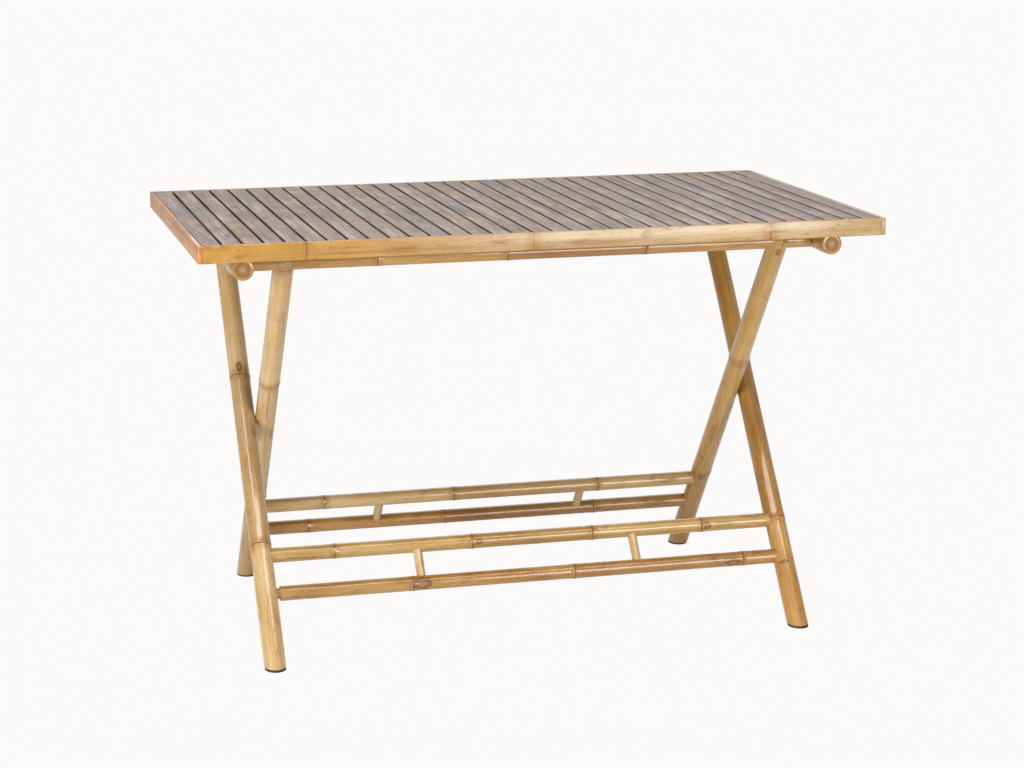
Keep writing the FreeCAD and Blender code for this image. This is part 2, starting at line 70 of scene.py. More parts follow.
# Height of a bamboo ring above the pole, at distances along it from the middle of the ring, in metres.
RING_PROFILE = ((-0.010, 0.0), (-0.004, 0.0002), (-0.0016, 0.0006), (-0.0004, 0.0), (0.0010, 0.0009),
                (0.0040, 0.0005), (0.011, 0.0001))


class BambooTableSizes(bpy.types.PropertyGroup):
    """Sizes of the details that the frame leaves open."""
    leg_radius: bpy.props.FloatProperty(name="Leg radius", description="Radius of a leg at its top hinge",
                                        default=0.018, unit="LENGTH")
    foot_radius: bpy.props.FloatProperty(name="Foot radius", description="Radius of a leg at the floor",
                                         default=0.019, unit="LENGTH")
    rail_radius: bpy.props.FloatProperty(name="Stretcher radius", description="Radius of a stretcher or bar",
                                         default=0.013, unit="LENGTH")
    pole_sides: bpy.props.IntProperty(name="Pole sides", description="Faces round a pole", default=48, min=12)
    waviness: bpy.props.FloatProperty(name="Waviness", description="Unevenness of a grown pole",
                                      default=0.0005, unit="LENGTH")
    slat_edge: bpy.props.FloatProperty(name="Slat edge", description="Rounding of the slats' long edges",
                                       default=0.0017, unit="LENGTH")
    slat_bulge: bpy.props.FloatProperty(name="Slat bulge", description="Swelling of a slat at a ring",
                                        default=0.0006, unit="LENGTH")
    slat_sway: bpy.props.FloatProperty(name="Slat sway", description="Wander of a slat along its length",
                                       default=0.0004, unit="LENGTH")
    strip_edge: bpy.props.FloatProperty(name="Edge strip rounding", description="Rounding of the edge strips",
                                        default=0.0015, unit="LENGTH")
    corner_radius: bpy.props.FloatProperty(name="Corner radius", description="Rounding of the top's corners",
                                           default=0.005, unit="LENGTH")


class BambooTableColours(bpy.types.PropertyGroup):
    """Colours of the stage and of the plain finishes."""
    floor: bpy.props.FloatVectorProperty(name="Floor", description="Colour of the floor", subtype="COLOR",
                                         size=3, default=(0.93, 0.925, 0.915))
    steel: bpy.props.FloatVectorProperty(name="Steel", description="Colour of bolts, nuts and screws",
                                         subtype="COLOR", size=3, default=(0.55, 0.54, 0.52))
    pads: bpy.props.FloatVectorProperty(name="Foot pads", description="Colour of the pads", subtype="COLOR",
                                        size=3, default=(0.045, 0.03, 0.022))
    ring_dark: bpy.props.FloatVectorProperty(name="Ring line", description="Dark line of a bamboo ring",
                                             subtype="COLOR", size=3, default=(0.085, 0.033, 0.010))
    ring_warm: bpy.props.FloatVectorProperty(name="Ring band", description="Warm band beside a bamboo ring",
                                             subtype="COLOR", size=3, default=(0.37, 0.155, 0.034))


# ---------------------------------------------------------------- mesh work

# How near a corner of a mesh has to be to a plane, in metres, to count as on it.
SAME_PLACE = 1e-5
ON_SLICE = 2e-5


def clear_choice():
    """Leave edit mode and choose nothing."""
    if bpy.context.object and bpy.context.object.mode != "OBJECT":
        bpy.ops.object.mode_set(mode="OBJECT")
    bpy.ops.object.select_all(action="DESELECT")


def pick(piece, kind, wanted):
    """Choose vertices, edges or faces of the piece in edit mode by a test of their place."""
    bpy.ops.mesh.select_mode(type=kind)
    bpy.ops.mesh.select_all(action="DESELECT")
    shape = bmesh.from_edit_mesh(piece.data)
    parts = {"VERT": shape.verts, "EDGE": shape.edges, "FACE": shape.faces}[kind]
    for part in parts:
        if wanted(part):
            part.select_set(True)
    bmesh.update_edit_mesh(piece.data)


def slice_at(point, normal, **options):
    """Cut new edges all round the piece in edit mode where a plane meets it."""
    bpy.ops.mesh.select_all(action="SELECT")
    bpy.ops.mesh.bisect(plane_co=point, plane_no=normal, **options)


def finish_piece(piece, name, body, nodes, material, angle=40):
    """Settle a finished piece: its place goes into its mesh, then it rides on its body."""
    clear_choice()
    piece.select_set(True)
    bpy.context.view_layer.objects.active = piece
    bpy.ops.object.transform_apply(location=True, rotation=True, scale=True)
    bpy.ops.object.shade_smooth_by_angle(angle=math.radians(angle))
    piece.name = name
    piece.data.name = name
    piece.data.materials.clear()
    piece.data.materials.append(material)
    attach(piece, body)
    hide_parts(*nodes)
    clear_choice()


def roughen(piece, amount, size):
    """Give a pole the slow unevenness of a grown stem."""
    texture = bpy.data.textures.get("grown_stem") or bpy.data.textures.new("grown_stem", "CLOUDS")
    texture.noise_scale = size
    uneven = piece.modifiers.new("uneven", "DISPLACE")
    uneven.texture = texture
    uneven.texture_coords = "GLOBAL"
    uneven.strength = amount
    uneven.mid_level = 0.5
    bpy.ops.object.modifier_apply(modifier=uneven.name)


def grow_pole(pole, sizes):
    """A tapering pole along Z with raised rings, placed and turned as its entry says."""
    low, high = pole["low"], pole["high"]
    clear_choice()
    bpy.ops.mesh.primitive_cone_add(vertices=sizes.pole_sides, radius1=pole["low_radius"],
                                    radius2=pole["high_radius"], depth=high - low,
                                    location=(0, 0, (low + high) / 2))
    piece = bpy.context.object
    bpy.ops.object.transform_apply(location=True, rotation=False, scale=False)
    bpy.ops.object.mode_set(mode="EDIT")
    pick(piece, "EDGE", lambda edge: all(abs(v.co.z - high) < SAME_PLACE for v in edge.verts))
    bpy.ops.mesh.bevel(offset=pole.get("top_round", 0.002), segments=4, affect="EDGES")
    pick(piece, "EDGE", lambda edge: all(abs(v.co.z - low) < SAME_PLACE for v in edge.verts))
    bpy.ops.mesh.bevel(offset=0.002, segments=2, affect="EDGES")
    for end, outward in ((low, -1), (high, 1)):
        if pole.get("open_ends"):
            pick(piece, "FACE", lambda face: face.normal.z * outward > 0.99
                 and abs(face.calc_center_median().z - end) < SAME_PLACE)
            bpy.ops.mesh.inset(thickness=pole["open_ends"] - 0.002)
            bpy.ops.mesh.extrude_region_move(TRANSFORM_OT_translate={"value": (0, 0, -0.012 * outward)})
    spacing = 0.045
    for step in range(1, int((high - low) / spacing)):
        slice_at((0, 0, low + step * spacing), (0, 0, 1))
    marks = [(ring + offset, proud) for ring in pole["rings"] for offset, proud in RING_PROFILE]
    for height, proud in marks:
        slice_at((0, 0, height), (0, 0, 1))
    for height, proud in marks:
        pick(piece, "VERT", lambda vert: abs(vert.co.z - height) < ON_SLICE)
        swell = 1 + proud / pole["high_radius"]
        bpy.ops.transform.resize(value=(swell, swell, 1), center_override=(0, 0, height))
    for place, side, share in pole.get("necks", ()):
        slice_at((0, 0, place), (0, 0, 1))
        slice_at((0, 0, place + side * 0.0025), (0, 0, 1))
        pick(piece, "VERT", lambda vert: (vert.co.z - place) * side > 0.002)
        bpy.ops.transform.resize(value=(share, share, 1), center_override=(0, 0, place))
    bpy.ops.object.mode_set(mode="OBJECT")
    piece.rotation_euler = pole["turn"]
    piece.location = pole["origin"]
    bpy.ops.object.transform_apply(location=True, rotation=True, scale=True)
    roughen(piece, sizes.waviness, 0.07)
    return piece


# ---------------------------------------------------------------- shader nodes

def add(tree, kind, inputs=None, **settings):
    """Add a shader node, set it up, and link or set its inputs."""
    made = tree.nodes.new(kind)
    for key, value in settings.items():
        setattr(made, key, value)
    for key, value in (inputs or {}).items():
        if isinstance(value, bpy.types.NodeSocket):
            tree.links.new(value, made.inputs[key])
        else:
            made.inputs[key].default_value = value
    return made


def math_node(tree, operation, first, second=0.0, clamp=False):
    """The output of a Math node."""
    return add(tree, "ShaderNodeMath", {0: first, 1: second}, operation=operation, use_clamp=clamp).outputs[0]


def plus(tree, first, second):
    """The sum of two values."""
    return math_node(tree, "ADD", first, second)


def minus(tree, first, second):
    """One value less another."""
    return math_node(tree, "SUBTRACT", first, second)


def times(tree, first, second):
    """The product of two values."""
    return math_node(tree, "MULTIPLY", first, second)


def mix(tree, factor, first, second, blend="MIX"):
    """The output of a colour Mix node."""
    made = add(tree, "ShaderNodeMix", data_type="RGBA", blend_type=blend)
    for index, value in ((0, factor), (6, first), (7, second)):
        if isinstance(value, bpy.types.NodeSocket):
            tree.links.new(value, made.inputs[index])
        elif index:
            made.inputs[index].default_value = tuple(value)[:3] + (1,)
        else:
            made.inputs[index].default_value = value
    return made.outputs[2]


def ranged(tree, value, low, high, to_low=0.0, to_high=1.0):
    """A value moved smoothly from one range to another."""
    made = add(tree, "ShaderNodeMapRange", {0: value, 1: low, 2: high, 3: to_low, 4: to_high},
               interpolation_type="SMOOTHSTEP")
    return made.outputs[0]


def shaded(tree, colour, shade):
    """A colour made lighter or darker by a value."""
    grey = add(tree, "ShaderNodeCombineColor", {0: shade, 1: shade, 2: shade}).outputs[0]
    return mix(tree, 1.0, colour, grey, "MULTIPLY")


def turned(tree, place, turn, origin=(0, 0, 0)):
    """A place as a piece sees it that is turned and moved."""
    return add(tree, "ShaderNodeMapping", {"Vector": place, "Location": origin, "Rotation": turn},
               vector_type="TEXTURE").outputs[0]


def noise(tree, vector, scale, stretch=(1, 1, 1), detail=3.0, roughness=0.55):
    """Noise on a stretched vector."""
    stretched = add(tree, "ShaderNodeVectorMath", {0: vector, 1: stretch}, operation="MULTIPLY").outputs[0]
    made = add(tree, "ShaderNodeTexNoise", {"Vector": stretched, "Scale": scale, "Detail": detail,
                                            "Roughness": roughness})
    return made.outputs["Fac"]


def new_group(name, inputs, outputs):
    """A shader node group with named sockets, and its two end nodes."""
    tree = bpy.data.node_groups.new(name, "ShaderNodeTree")
    kinds = {"value": "NodeSocketFloat", "vector": "NodeSocketVector", "colour": "NodeSocketColor"}
    for label, kind in inputs:
        tree.interface.new_socket(label, in_out="INPUT", socket_type=kinds[kind])
    for label, kind in outputs:
        tree.interface.new_socket(label, in_out="OUTPUT", socket_type=kinds[kind])
    return tree, tree.nodes.new("NodeGroupInput").outputs, tree.nodes.new("NodeGroupOutput").inputs


def make_skin_group():
    """Lacquered bamboo skin: pale and golden stripes along Z, fine fibres, specks and smudges."""
    tree, given, result = new_group(
        "Bamboo skin", (("Vector", "vector"), ("Pale", "colour"), ("Golden", "colour"), ("Deep", "colour")),
        (("Color", "colour"), ("Height", "value"), ("Smudge", "value")))
    vector = given["Vector"]
    broad = noise(tree, vector, 30, (1, 1, 0.07), 3)
    patches = noise(tree, vector, 17, (1, 1, 0.5), 5, 0.62)
    stripe = noise(tree, vector, 110, (1, 1, 0.03), 4, 0.65)
    fibre = noise(tree, vector, 520, (1, 1, 0.02), 3, 0.6)
    speck = noise(tree, vector, 330, (1, 1, 0.45), 2)
    smear = noise(tree, vector, 46, (1, 1, 0.30), 6, 0.72)
    scratch = noise(tree, vector, 190, (1.5, 1.5, 0.09), 2, 0.5)
    tone = plus(tree, times(tree, broad, 0.5), times(tree, patches, 0.5))
    colour = mix(tree, ranged(tree, tone, 0.40, 0.60), given["Pale"], given["Golden"])
    colour = mix(tree, ranged(tree, stripe, 0.52, 0.68, 0.0, 0.50), colour, given["Deep"])
    streak = noise(tree, vector, 85, (1, 1, 0.025), 3, 0.6)
    colour = mix(tree, ranged(tree, streak, 0.54, 0.68, 0.0, 0.6), colour, given["Pale"])
    smudge = ranged(tree, smear, 0.52, 0.66)
    colour = mix(tree, times(tree, smudge, 0.70), colour, given["Deep"])
    colour = mix(tree, ranged(tree, scratch, 0.63, 0.71, 0.0, 0.45), colour, (0.22, 0.10, 0.028))
    specks = ranged(tree, speck, 0.665, 0.71, 0.0, 0.65)
    colour = mix(tree, specks, colour, (0.13, 0.055, 0.018))
    shade = ranged(tree, fibre, 0.3, 0.7, 0.93, 1.06)
    colour = shaded(tree, colour, shade)
    tree.links.new(colour, result["Color"])
    height = plus(tree, times(tree, fibre, 0.35), times(tree, stripe, 0.65))
    tree.links.new(height, result["Height"])
    tree.links.new(smudge, result["Smudge"])
    return tree


def make_ring_group():
    """A bamboo ring across Z at a place: a thin dark line and a broken warm band."""
    tree, given, result = new_group(
        "Bamboo ring", (("Vector", "vector"), ("Place", "value"), ("Width", "value")),
        (("Line", "value"), ("Band", "value")))
    height = add(tree, "ShaderNodeSeparateXYZ", {0: given["Vector"]}).outputs[2]
    wobble = times(tree, minus(tree, noise(tree, given["Vector"], 70), 0.5), 0.006)
    offset = plus(tree, minus(tree, height, given["Place"]), wobble)
    away = math_node(tree, "ABSOLUTE", offset)
    broken = ranged(tree, noise(tree, given["Vector"], 160, (1, 1, 0.4)), 0.34, 0.55)
    line = ranged(tree, away, 0.0003, 0.0015, 1.0, 0.0)
    tree.links.new(times(tree, line, ranged(tree, broken, 0, 1, 0.55, 1.0)), result["Line"])
    reach = math_node(tree, "DIVIDE", away, given["Width"])
    band = ranged(tree, reach, 0.15, 1.0, 1.0, 0.0)
    tree.links.new(times(tree, band, ranged(tree, broken, 0, 1, 0.45, 1.0)), result["Band"])
    return tree


def make_scar_group():
    """An oval bud scar at a place, with a soft uneven rim."""
    tree, given, result = new_group(
        "Bud scar", (("Vector", "vector"), ("Place", "vector"), ("Size", "vector")),
        (("Mask", "value"), ("Rim", "value")))
    moved = add(tree, "ShaderNodeVectorMath", {0: given["Vector"], 1: given["Place"]},
                operation="SUBTRACT").outputs[0]
    scaled = add(tree, "ShaderNodeVectorMath", {0: moved, 1: given["Size"]}, operation="DIVIDE").outputs[0]
    reach = add(tree, "ShaderNodeVectorMath", {0: scaled}, operation="LENGTH").outputs["Value"]
    ragged = plus(tree, reach, minus(tree, noise(tree, given["Vector"], 260), 0.5))
    whole = ranged(tree, ragged, 0.80, 1.05, 1.0, 0.0)
    tree.links.new(whole, result["Mask"])
    tree.links.new(times(tree, whole, ranged(tree, ragged, 0.35, 0.75)), result["Rim"])
    return tree


def make_stain_and_sheen_group():
    """Grey-brown stain on sawn bamboo strips along Y, with painted sheen: cloudy patches between stain brown and a
    painted grey-lavender sheen, long pale streaks of painted sheen, wear, soot, strip by strip tone and fine
    grain.
    """
    tree, given, result = new_group(
        "Slat stain and sheen", (("Vector", "vector"), ("Pitch", "value"), ("Start", "value")),
        (("Color", "colour"), ("Height", "value"), ("Gloss", "value")))
    vector = given["Vector"]
    axes = add(tree, "ShaderNodeSeparateXYZ", {0: vector}).outputs
    across = minus(tree, axes[0], given["Start"])
    count = math_node(tree, "FLOOR", math_node(tree, "DIVIDE", across, given["Pitch"]))
    chance = add(tree, "ShaderNodeTexWhiteNoise", {"W": count}, noise_dimensions="1D").outputs
    shift = times(tree, count, 7.31)
    shifted = plus(tree, axes[1], shift)
    own = add(tree, "ShaderNodeCombineXYZ", {0: axes[0], 1: shifted, 2: axes[2]}).outputs[0]
    grain = noise(tree, own, 380, (1, 0.018, 1), 4, 0.65)
    stripe = noise(tree, own, 75, (1, 0.06, 1), 4, 0.65)
    stain_and_sheen_cloud = noise(tree, vector, 8, (1, 0.8, 1), 5, 0.62)
    worn = noise(tree, own, 24, (1, 0.28, 1), 5, 0.72)
    soot = noise(tree, own, 40, (1, 0.35, 1), 5, 0.75)
    painted_sheen = noise(tree, own, 62, (1, 0.07, 1), 4, 0.65)
    # Cloudy patches from dark brown stain to a pale grey-lavender that is painted sheen: a reflection of the
    # bright surroundings painted into the colour.
    colour = mix(tree, ranged(tree, stain_and_sheen_cloud, 0.43, 0.57), (0.165, 0.078, 0.036), (0.255, 0.180, 0.160))
    colour = mix(tree, ranged(tree, chance["Value"], 0.2, 1.0, 0.0, 0.80), colour, (0.240, 0.105, 0.034))
    colour = mix(tree, ranged(tree, worn, 0.48, 0.60, 0.0, 0.85), colour, (0.40, 0.185, 0.052))
    colour = mix(tree, ranged(tree, soot, 0.52, 0.66, 0.0, 0.80), colour, (0.045, 0.021, 0.013))
    # Long pale grey-lavender streaks of painted sheen: a reflection painted into the colour.
    colour = mix(tree, ranged(tree, painted_sheen, 0.52, 0.64, 0.0, 0.65), colour, (0.46, 0.35, 0.32))
    colour = mix(tree, ranged(tree, stripe, 0.52, 0.64, 0.0, 0.75), colour, (0.050, 0.025, 0.014))
    shade = ranged(tree, grain, 0.3, 0.7, 0.78, 1.18)
    colour = shaded(tree, colour, shade)
    tree.links.new(colour, result["Color"])
    tree.links.new(plus(tree, grain, stripe), result["Height"])
    tree.links.new(ranged(tree, stain_and_sheen_cloud, 0.35, 0.65, 0.30, 0.46), result["Gloss"])
    return tree


def use_group(tree, name, inputs):
    """Place a shader node group in a material."""
    made = tree.nodes.new("ShaderNodeGroup")
    made.node_tree = bpy.data.node_groups[name]
    for key, value in inputs.items():
        if isinstance(value, bpy.types.NodeSocket):
            tree.links.new(value, made.inputs[key])
        elif made.inputs[key].type == "RGBA":
            made.inputs[key].default_value = tuple(value)[:3] + (1,)
        else:
            made.inputs[key].default_value = value
    return made.outputs


def bamboo_skin(tree, local, tones):
    """Bamboo skin in a pale, a golden and a deep tone."""
    return use_group(tree, "Bamboo skin", {"Vector": local, **dict(zip(("Pale", "Golden", "Deep"), tones))})


def new_material(name, roughness=0.4, coat=0.0, coat_roughness=0.1, specular=0.5, metallic=0.0):
    """A material with its surface shader, its tree and its object coordinates."""
    material = bpy.data.materials.new(name)
    material.use_nodes = True
    tree = material.node_tree
    shader = tree.nodes["Principled BSDF"]
    shader.inputs["Roughness"].default_value = roughness
    shader.inputs["Coat Weight"].default_value = coat
    shader.inputs["Coat Roughness"].default_value = coat_roughness
    shader.inputs["Specular IOR Level"].default_value = specular
    shader.inputs["Metallic"].default_value = metallic
    place = tree.nodes.new("ShaderNodeTexCoord").outputs["Object"]
    return material, tree, shader, place


def add_bump(tree, shader, height, strength, distance):
    """Fine relief from a height."""
    bump = add(tree, "ShaderNodeBump", {"Height": height, "Strength": strength, "Distance": distance})
    tree.links.new(bump.outputs[0], shader.inputs["Normal"])


def strongest(tree, values):
    """The largest of several values."""
    result = values[0]
    for value in values[1:]:
        result = math_node(tree, "MAXIMUM", result, value)
    return result


def bamboo_material(name, origin, turn, rings, tones, scars=(), band_width=0.018):
    """Lacquered bamboo along a pole, with its own rings and bud scars."""
    colours = bpy.context.scene.bamboo_table_colours
    material, tree, shader, place = new_material(name, 0.36, 0.80, 0.08, specular=0.35)
    local = turned(tree, place, turn, origin)
    skin = bamboo_skin(tree, local, tones)
    colour = skin["Color"]
    height = add(tree, "ShaderNodeSeparateXYZ", {0: local}).outputs[2]
    chance = sum(abs(part) for part in origin) * 5
    lines, bands = [], []
    for ring in rings:
        marks = use_group(tree, "Bamboo ring", {"Vector": local, "Place": ring, "Width": band_width})
        lines.append(marks["Line"])
        bands.append(marks["Band"])
        passed = math_node(tree, "GREATER_THAN", height, ring)
        chance = plus(tree, chance, times(tree, passed, GOLDEN_SHARE))
    rough = ranged(tree, skin["Smudge"], 0.0, 1.0, 0.27, 0.42)
    if rings:
        darker = ranged(tree, math_node(tree, "FRACT", chance), 0.35, 1.0, 0.0, 0.45)
        colour = mix(tree, darker, colour, tones[2])
        colour = mix(tree, times(tree, strongest(tree, bands), 0.6), colour, colours.ring_warm)
        colour = mix(tree, times(tree, strongest(tree, lines), 0.85), colour, colours.ring_dark)
    if scars:
        buds = [use_group(tree, "Bud scar", {"Vector": local, "Place": spot, "Size": size})
                for spot, size in scars]
        mark = strongest(tree, [bud["Mask"] for bud in buds])
        rim = strongest(tree, [bud["Rim"] for bud in buds])
        colour = mix(tree, times(tree, mark, 0.7), colour, (0.30, 0.135, 0.042))
        colour = mix(tree, times(tree, rim, 0.75), colour, (0.10, 0.040, 0.014))
        rough = plus(tree, rough, times(tree, mark, 0.3))
    tree.links.new(colour, shader.inputs["Base Color"])
    tree.links.new(rough, shader.inputs["Roughness"])
    add_bump(tree, shader, skin["Height"], 0.22, 0.0006)
    return material


def slat_material():
    """Stained slats with rings: the top is grey-brown with painted sheen; the sawn sides and rounded edges run
    from golden brown to near black, partly their own colour and partly painted shade in the gaps between slats.
    """
    material, tree, shader, place = new_material("Stained slats with painted sheen and gap shade", 0.36, 0.12, 0.22, specular=0.32)
    stain_and_sheen = use_group(tree, "Slat stain and sheen", {"Vector": place, "Pitch": SLAT_PITCH, "Start": SLAT_START})
    normal = tree.nodes["Texture Coordinate"].outputs["Normal"]
    facing = add(tree, "ShaderNodeSeparateXYZ", {0: normal}).outputs[2]
    side_grain = noise(tree, place, 220, (1, 0.03, 2))
    # Sawn sides and rounded long edges: golden brown grain darkened to near black as painted shade in the gaps
    # between slats.
    side = mix(tree, ranged(tree, side_grain, 0.3, 0.7), (0.060, 0.025, 0.009), (0.17, 0.075, 0.022))
    colour = mix(tree, ranged(tree, facing, 0.75, 0.97), side, stain_and_sheen["Color"])
    axes = add(tree, "ShaderNodeSeparateXYZ", {0: place}).outputs
    across = minus(tree, axes[0], SLAT_START)
    count = math_node(tree, "FLOOR", math_node(tree, "DIVIDE", across, SLAT_PITCH))
    shift = math_node(tree, "FRACT", times(tree, count, GOLDEN_SHARE))
    along = math_node(tree, "DIVIDE", minus(tree, axes[1], SLAT_FRONT), SLAT_INTERNODE)
    phase = minus(tree, along, shift)
    nearest = minus(tree, phase, math_node(tree, "ROUND", phase))
    away = times(tree, math_node(tree, "ABSOLUTE", nearest), SLAT_INTERNODE)
    ragged = plus(tree, away, times(tree, noise(tree, place, 120, (1, 1, 1)), 0.006))
    line = ranged(tree, ragged, 0.0032, 0.0052, 0.75, 0.0)
    band = ranged(tree, ragged, 0.004, 0.020, 0.35, 0.0)
    colour = mix(tree, band, colour, (0.13, 0.075, 0.05))
    colour = mix(tree, line, colour, (0.045, 0.025, 0.018))
    tree.links.new(colour, shader.inputs["Base Color"])
    tree.links.new(stain_and_sheen["Gloss"], shader.inputs["Roughness"])
    add_bump(tree, shader, stain_and_sheen["Height"], 0.30, 0.0008)
    return material


def ring_places(index):
    """Where the rings cross a slat, in the frame: the same rule as in the slats' material."""
    shift = (index * GOLDEN_SHARE) % 1
    places = [SLAT_FRONT + (shift + step) * SLAT_INTERNODE for step in range(3)]
    return [place for place in places if place < -SLAT_FRONT - 0.02]


def strip_material(name, turn, tones, far_tones, fade, marks):
    """An edge strip of lacquered bamboo whose colour fades along it, with ring marks across it."""
    colours = bpy.context.scene.bamboo_table_colours
    material, tree, shader, place = new_material(name, 0.36, 0.30, 0.12, specular=0.35)
    local = turned(tree, place, turn)
    near = bamboo_skin(tree, local, tones)
    far = bamboo_skin(tree, local, far_tones)
    along = add(tree, "ShaderNodeSeparateXYZ", {0: local}).outputs[2]
    ragged = plus(tree, along, times(tree, noise(tree, local, 30, (1, 1, 0.3)), 0.1))
    colour = mix(tree, ranged(tree, ragged, fade[0], fade[1]), near["Color"], far["Color"])
    lines, bands = [], []
    for mark, width in marks:
        ring = use_group(tree, "Bamboo ring", {"Vector": local, "Place": mark, "Width": width})
        lines.append(ring["Line"])
        bands.append(ring["Band"])
    colour = mix(tree, times(tree, strongest(tree, bands), 0.7), colour, colours.ring_warm)
    colour = mix(tree, times(tree, strongest(tree, lines), 0.7), colour, colours.ring_dark)
    tree.links.new(colour, shader.inputs["Base Color"])
    tree.links.new(ranged(tree, near["Smudge"], 0.0, 1.0, 0.27, 0.40), shader.inputs["Roughness"])
    add_bump(tree, shader, near["Height"], 0.2, 0.0006)
    return material


def wood_material(name, light, dark, turn):
    """Plain sawn wood with grain along its length."""
    material, tree, shader, place = new_material(name, 0.62)
    local = turned(tree, place, turn)
    grain = noise(tree, local, 120, (1, 1, 0.04), 5, 0.65)
    colour = mix(tree, ranged(tree, grain, 0.3, 0.7), light, dark)
    tree.links.new(colour, shader.inputs["Base Color"])
    tree.links.new(ranged(tree, grain, 0.3, 0.7, 0.55, 0.72), shader.inputs["Roughness"])
    add_bump(tree, shader, grain, 0.3, 0.0006)
    return material


def end_grain_material():
    """Sawn pole ends: brown with dark pores and a pale pith in the middle of each cross pole."""
    material, tree, shader, place = new_material("End grain", 0.6)
    low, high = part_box("right_crossbar")
    middle = (low + high) / 2
    axes = add(tree, "ShaderNodeSeparateXYZ", {0: place}).outputs
    side = minus(tree, math_node(tree, "ABSOLUTE", axes[0]), middle.x)
    lift = minus(tree, axes[2], middle.z)
    squares = [math_node(tree, "POWER", math_node(tree, "ABSOLUTE", part), 2) for part in (side, lift)]
    reach = math_node(tree, "SQRT", plus(tree, *squares))
    pores = noise(tree, place, 900, (1, 1, 1), 2)
    colour = mix(tree, ranged(tree, pores, 0.35, 0.65), (0.40, 0.20, 0.065), (0.27, 0.12, 0.036))
    colour = mix(tree, ranged(tree, reach, 0.001, 0.009, 0.75, 0.0), colour, (0.56, 0.33, 0.13))
    tree.links.new(colour, shader.inputs["Base Color"])
    tree.links.new(ranged(tree, pores, 0.3, 0.7, 0.5, 0.7), shader.inputs["Roughness"])
    add_bump(tree, shader, pores, 0.3, 0.0004)
    return material


def plain_material(name, colour, roughness, metallic=0.0):
    """Metal or rubber with faint mottling in its colour and gloss."""
    material, tree, shader, place = new_material(name, roughness, metallic=metallic)
    grime = noise(tree, place, 240, (1, 1, 1), 4)
    darker = tuple(value * 0.7 for value in colour)
    tree.links.new(mix(tree, ranged(tree, grime, 0.35, 0.7), colour, darker), shader.inputs["Base Color"])
    gloss = ranged(tree, grime, 0.3, 0.7, roughness - 0.06, roughness + 0.1)
    tree.links.new(gloss, shader.inputs["Roughness"])
    add_bump(tree, shader, grime, 0.15, 0.0003)
    return material


def paint_nodes(names, material):
    """Give CAD nodes that keep their own shape a better finish."""
    for name in names:
        slots = frame["nodes"][name].material_slots
        if not slots:
            frame["nodes"][name].data.materials.append(material)
        for slot in slots:
            slot.material = material


# ---------------------------------------------------------------- pieces

LIGHT_TAN = ((0.63, 0.440, 0.215), (0.55, 0.345, 0.125), (0.32, 0.160, 0.042))
GOLDEN_TAN = ((0.54, 0.300, 0.080), (0.44, 0.210, 0.042), (0.25, 0.095, 0.016))
GREEN_TAN = ((0.54, 0.345, 0.120), (0.46, 0.260, 0.064), (0.27, 0.125, 0.027))
BROWN_TAN = ((0.48, 0.265, 0.080), (0.37, 0.170, 0.033), (0.19, 0.070, 0.013))
GOLDEN_SHARE = 0.618034
SLAT_INTERNODE = 0.31


def slat_layout():
    """Pitch of the slats, where the first one's cell starts, and their front end."""
    first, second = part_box(SLATS[0]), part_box(SLATS[1])
    pitch = second[0].x - first[0].x
    gap = second[0].x - first[1].x
    return pitch, first[0].x - gap / 2, first[0].y


SLAT_PITCH, SLAT_START, SLAT_FRONT = slat_layout()

# Each leg: its frame, its first ring above the bolt, its tones, its bud scars (place, size), and top_mark,
# where a faint ring line crosses its top.
LEGS = {
    "outer_leg_left": {"frame": "outer", "ring": 0.082, "tones": LIGHT_TAN,
                       "scars": [((-0.002, -0.018, 0.096), (0.006, 0.02, 0.010))]},
    "outer_leg_right": {"frame": "outer", "ring": 0.063, "tones": GOLDEN_TAN,
                        "scars": [((-0.006, -0.018, -0.360), (0.009, 0.02, 0.004))]},
    "inner_leg_left": {"frame": "inner", "ring": 0.103, "tones": LIGHT_TAN,
                       "scars": [((-0.002, -0.018, 0.050), (0.0010, 0.02, 0.040))], "top_mark": -0.004},
    "inner_leg_right": {"frame": "inner", "ring": 0.095, "tones": GREEN_TAN,
                        "scars": [((-0.006, -0.018, -0.242), (0.004, 0.02, 0.010)),
                                  ((-0.002, -0.018, 0.398), (0.005, 0.02, 0.008))]},
}
INTERNODE = 0.332
# A leg grows past its foot and is cut off level with the pad; its top end is well rounded.
LEG_SPARE = 0.03
LEG_TOP_SHARE = 0.97
LEG_TOP_ROUND = 0.012
# Room for the rings inside a cross pole's box, and its wall round a plug.
RING_ROOM = 0.0012
CROSSBAR_WALL = 0.0062

# Each pole along X: its body, rings along it, tones and bud scars (along it, towards the front or the top).
RAILS = {
    "front_axle_bar": {"body": "inner_frame", "rings": (-0.283, -0.055, 0.193), "tones": GOLDEN_TAN,
                       "scars": []},
    "rear_top_bar": {"body": "outer_frame", "rings": (-0.116, 0.140), "tones": BROWN_TAN, "scars": []},
    "front_upper_stretcher": {"body": "outer_frame", "rings": (-0.350, -0.100, 0.124, 0.332),
                              "tones": GREEN_TAN,
                              "scars": [((0.002, -0.013, -0.088), (0.005, 0.02, 0.007)),
                                        ((0.0, -0.013, 0.343), (0.006, 0.02, 0.007))]},
    "front_lower_stretcher": {"body": "outer_frame", "rings": (-0.218, 0.079, 0.398), "tones": BROWN_TAN,
                              "scars": [((0.002, -0.012, -0.203), (0.011, 0.02, 0.020)),
                                        ((-0.003, -0.012, 0.378), (0.008, 0.02, 0.015))]},
    "rear_upper_stretcher": {"body": "inner_frame", "rings": (-0.309, -0.058, 0.231), "tones": LIGHT_TAN,
                             "scars": []},
    "rear_lower_stretcher": {"body": "inner_frame", "rings": (-0.333, -0.066, 0.234), "tones": BROWN_TAN,
                             "scars": [((0.0, -0.012, 0.243), (0.005, 0.02, 0.005))]},
}


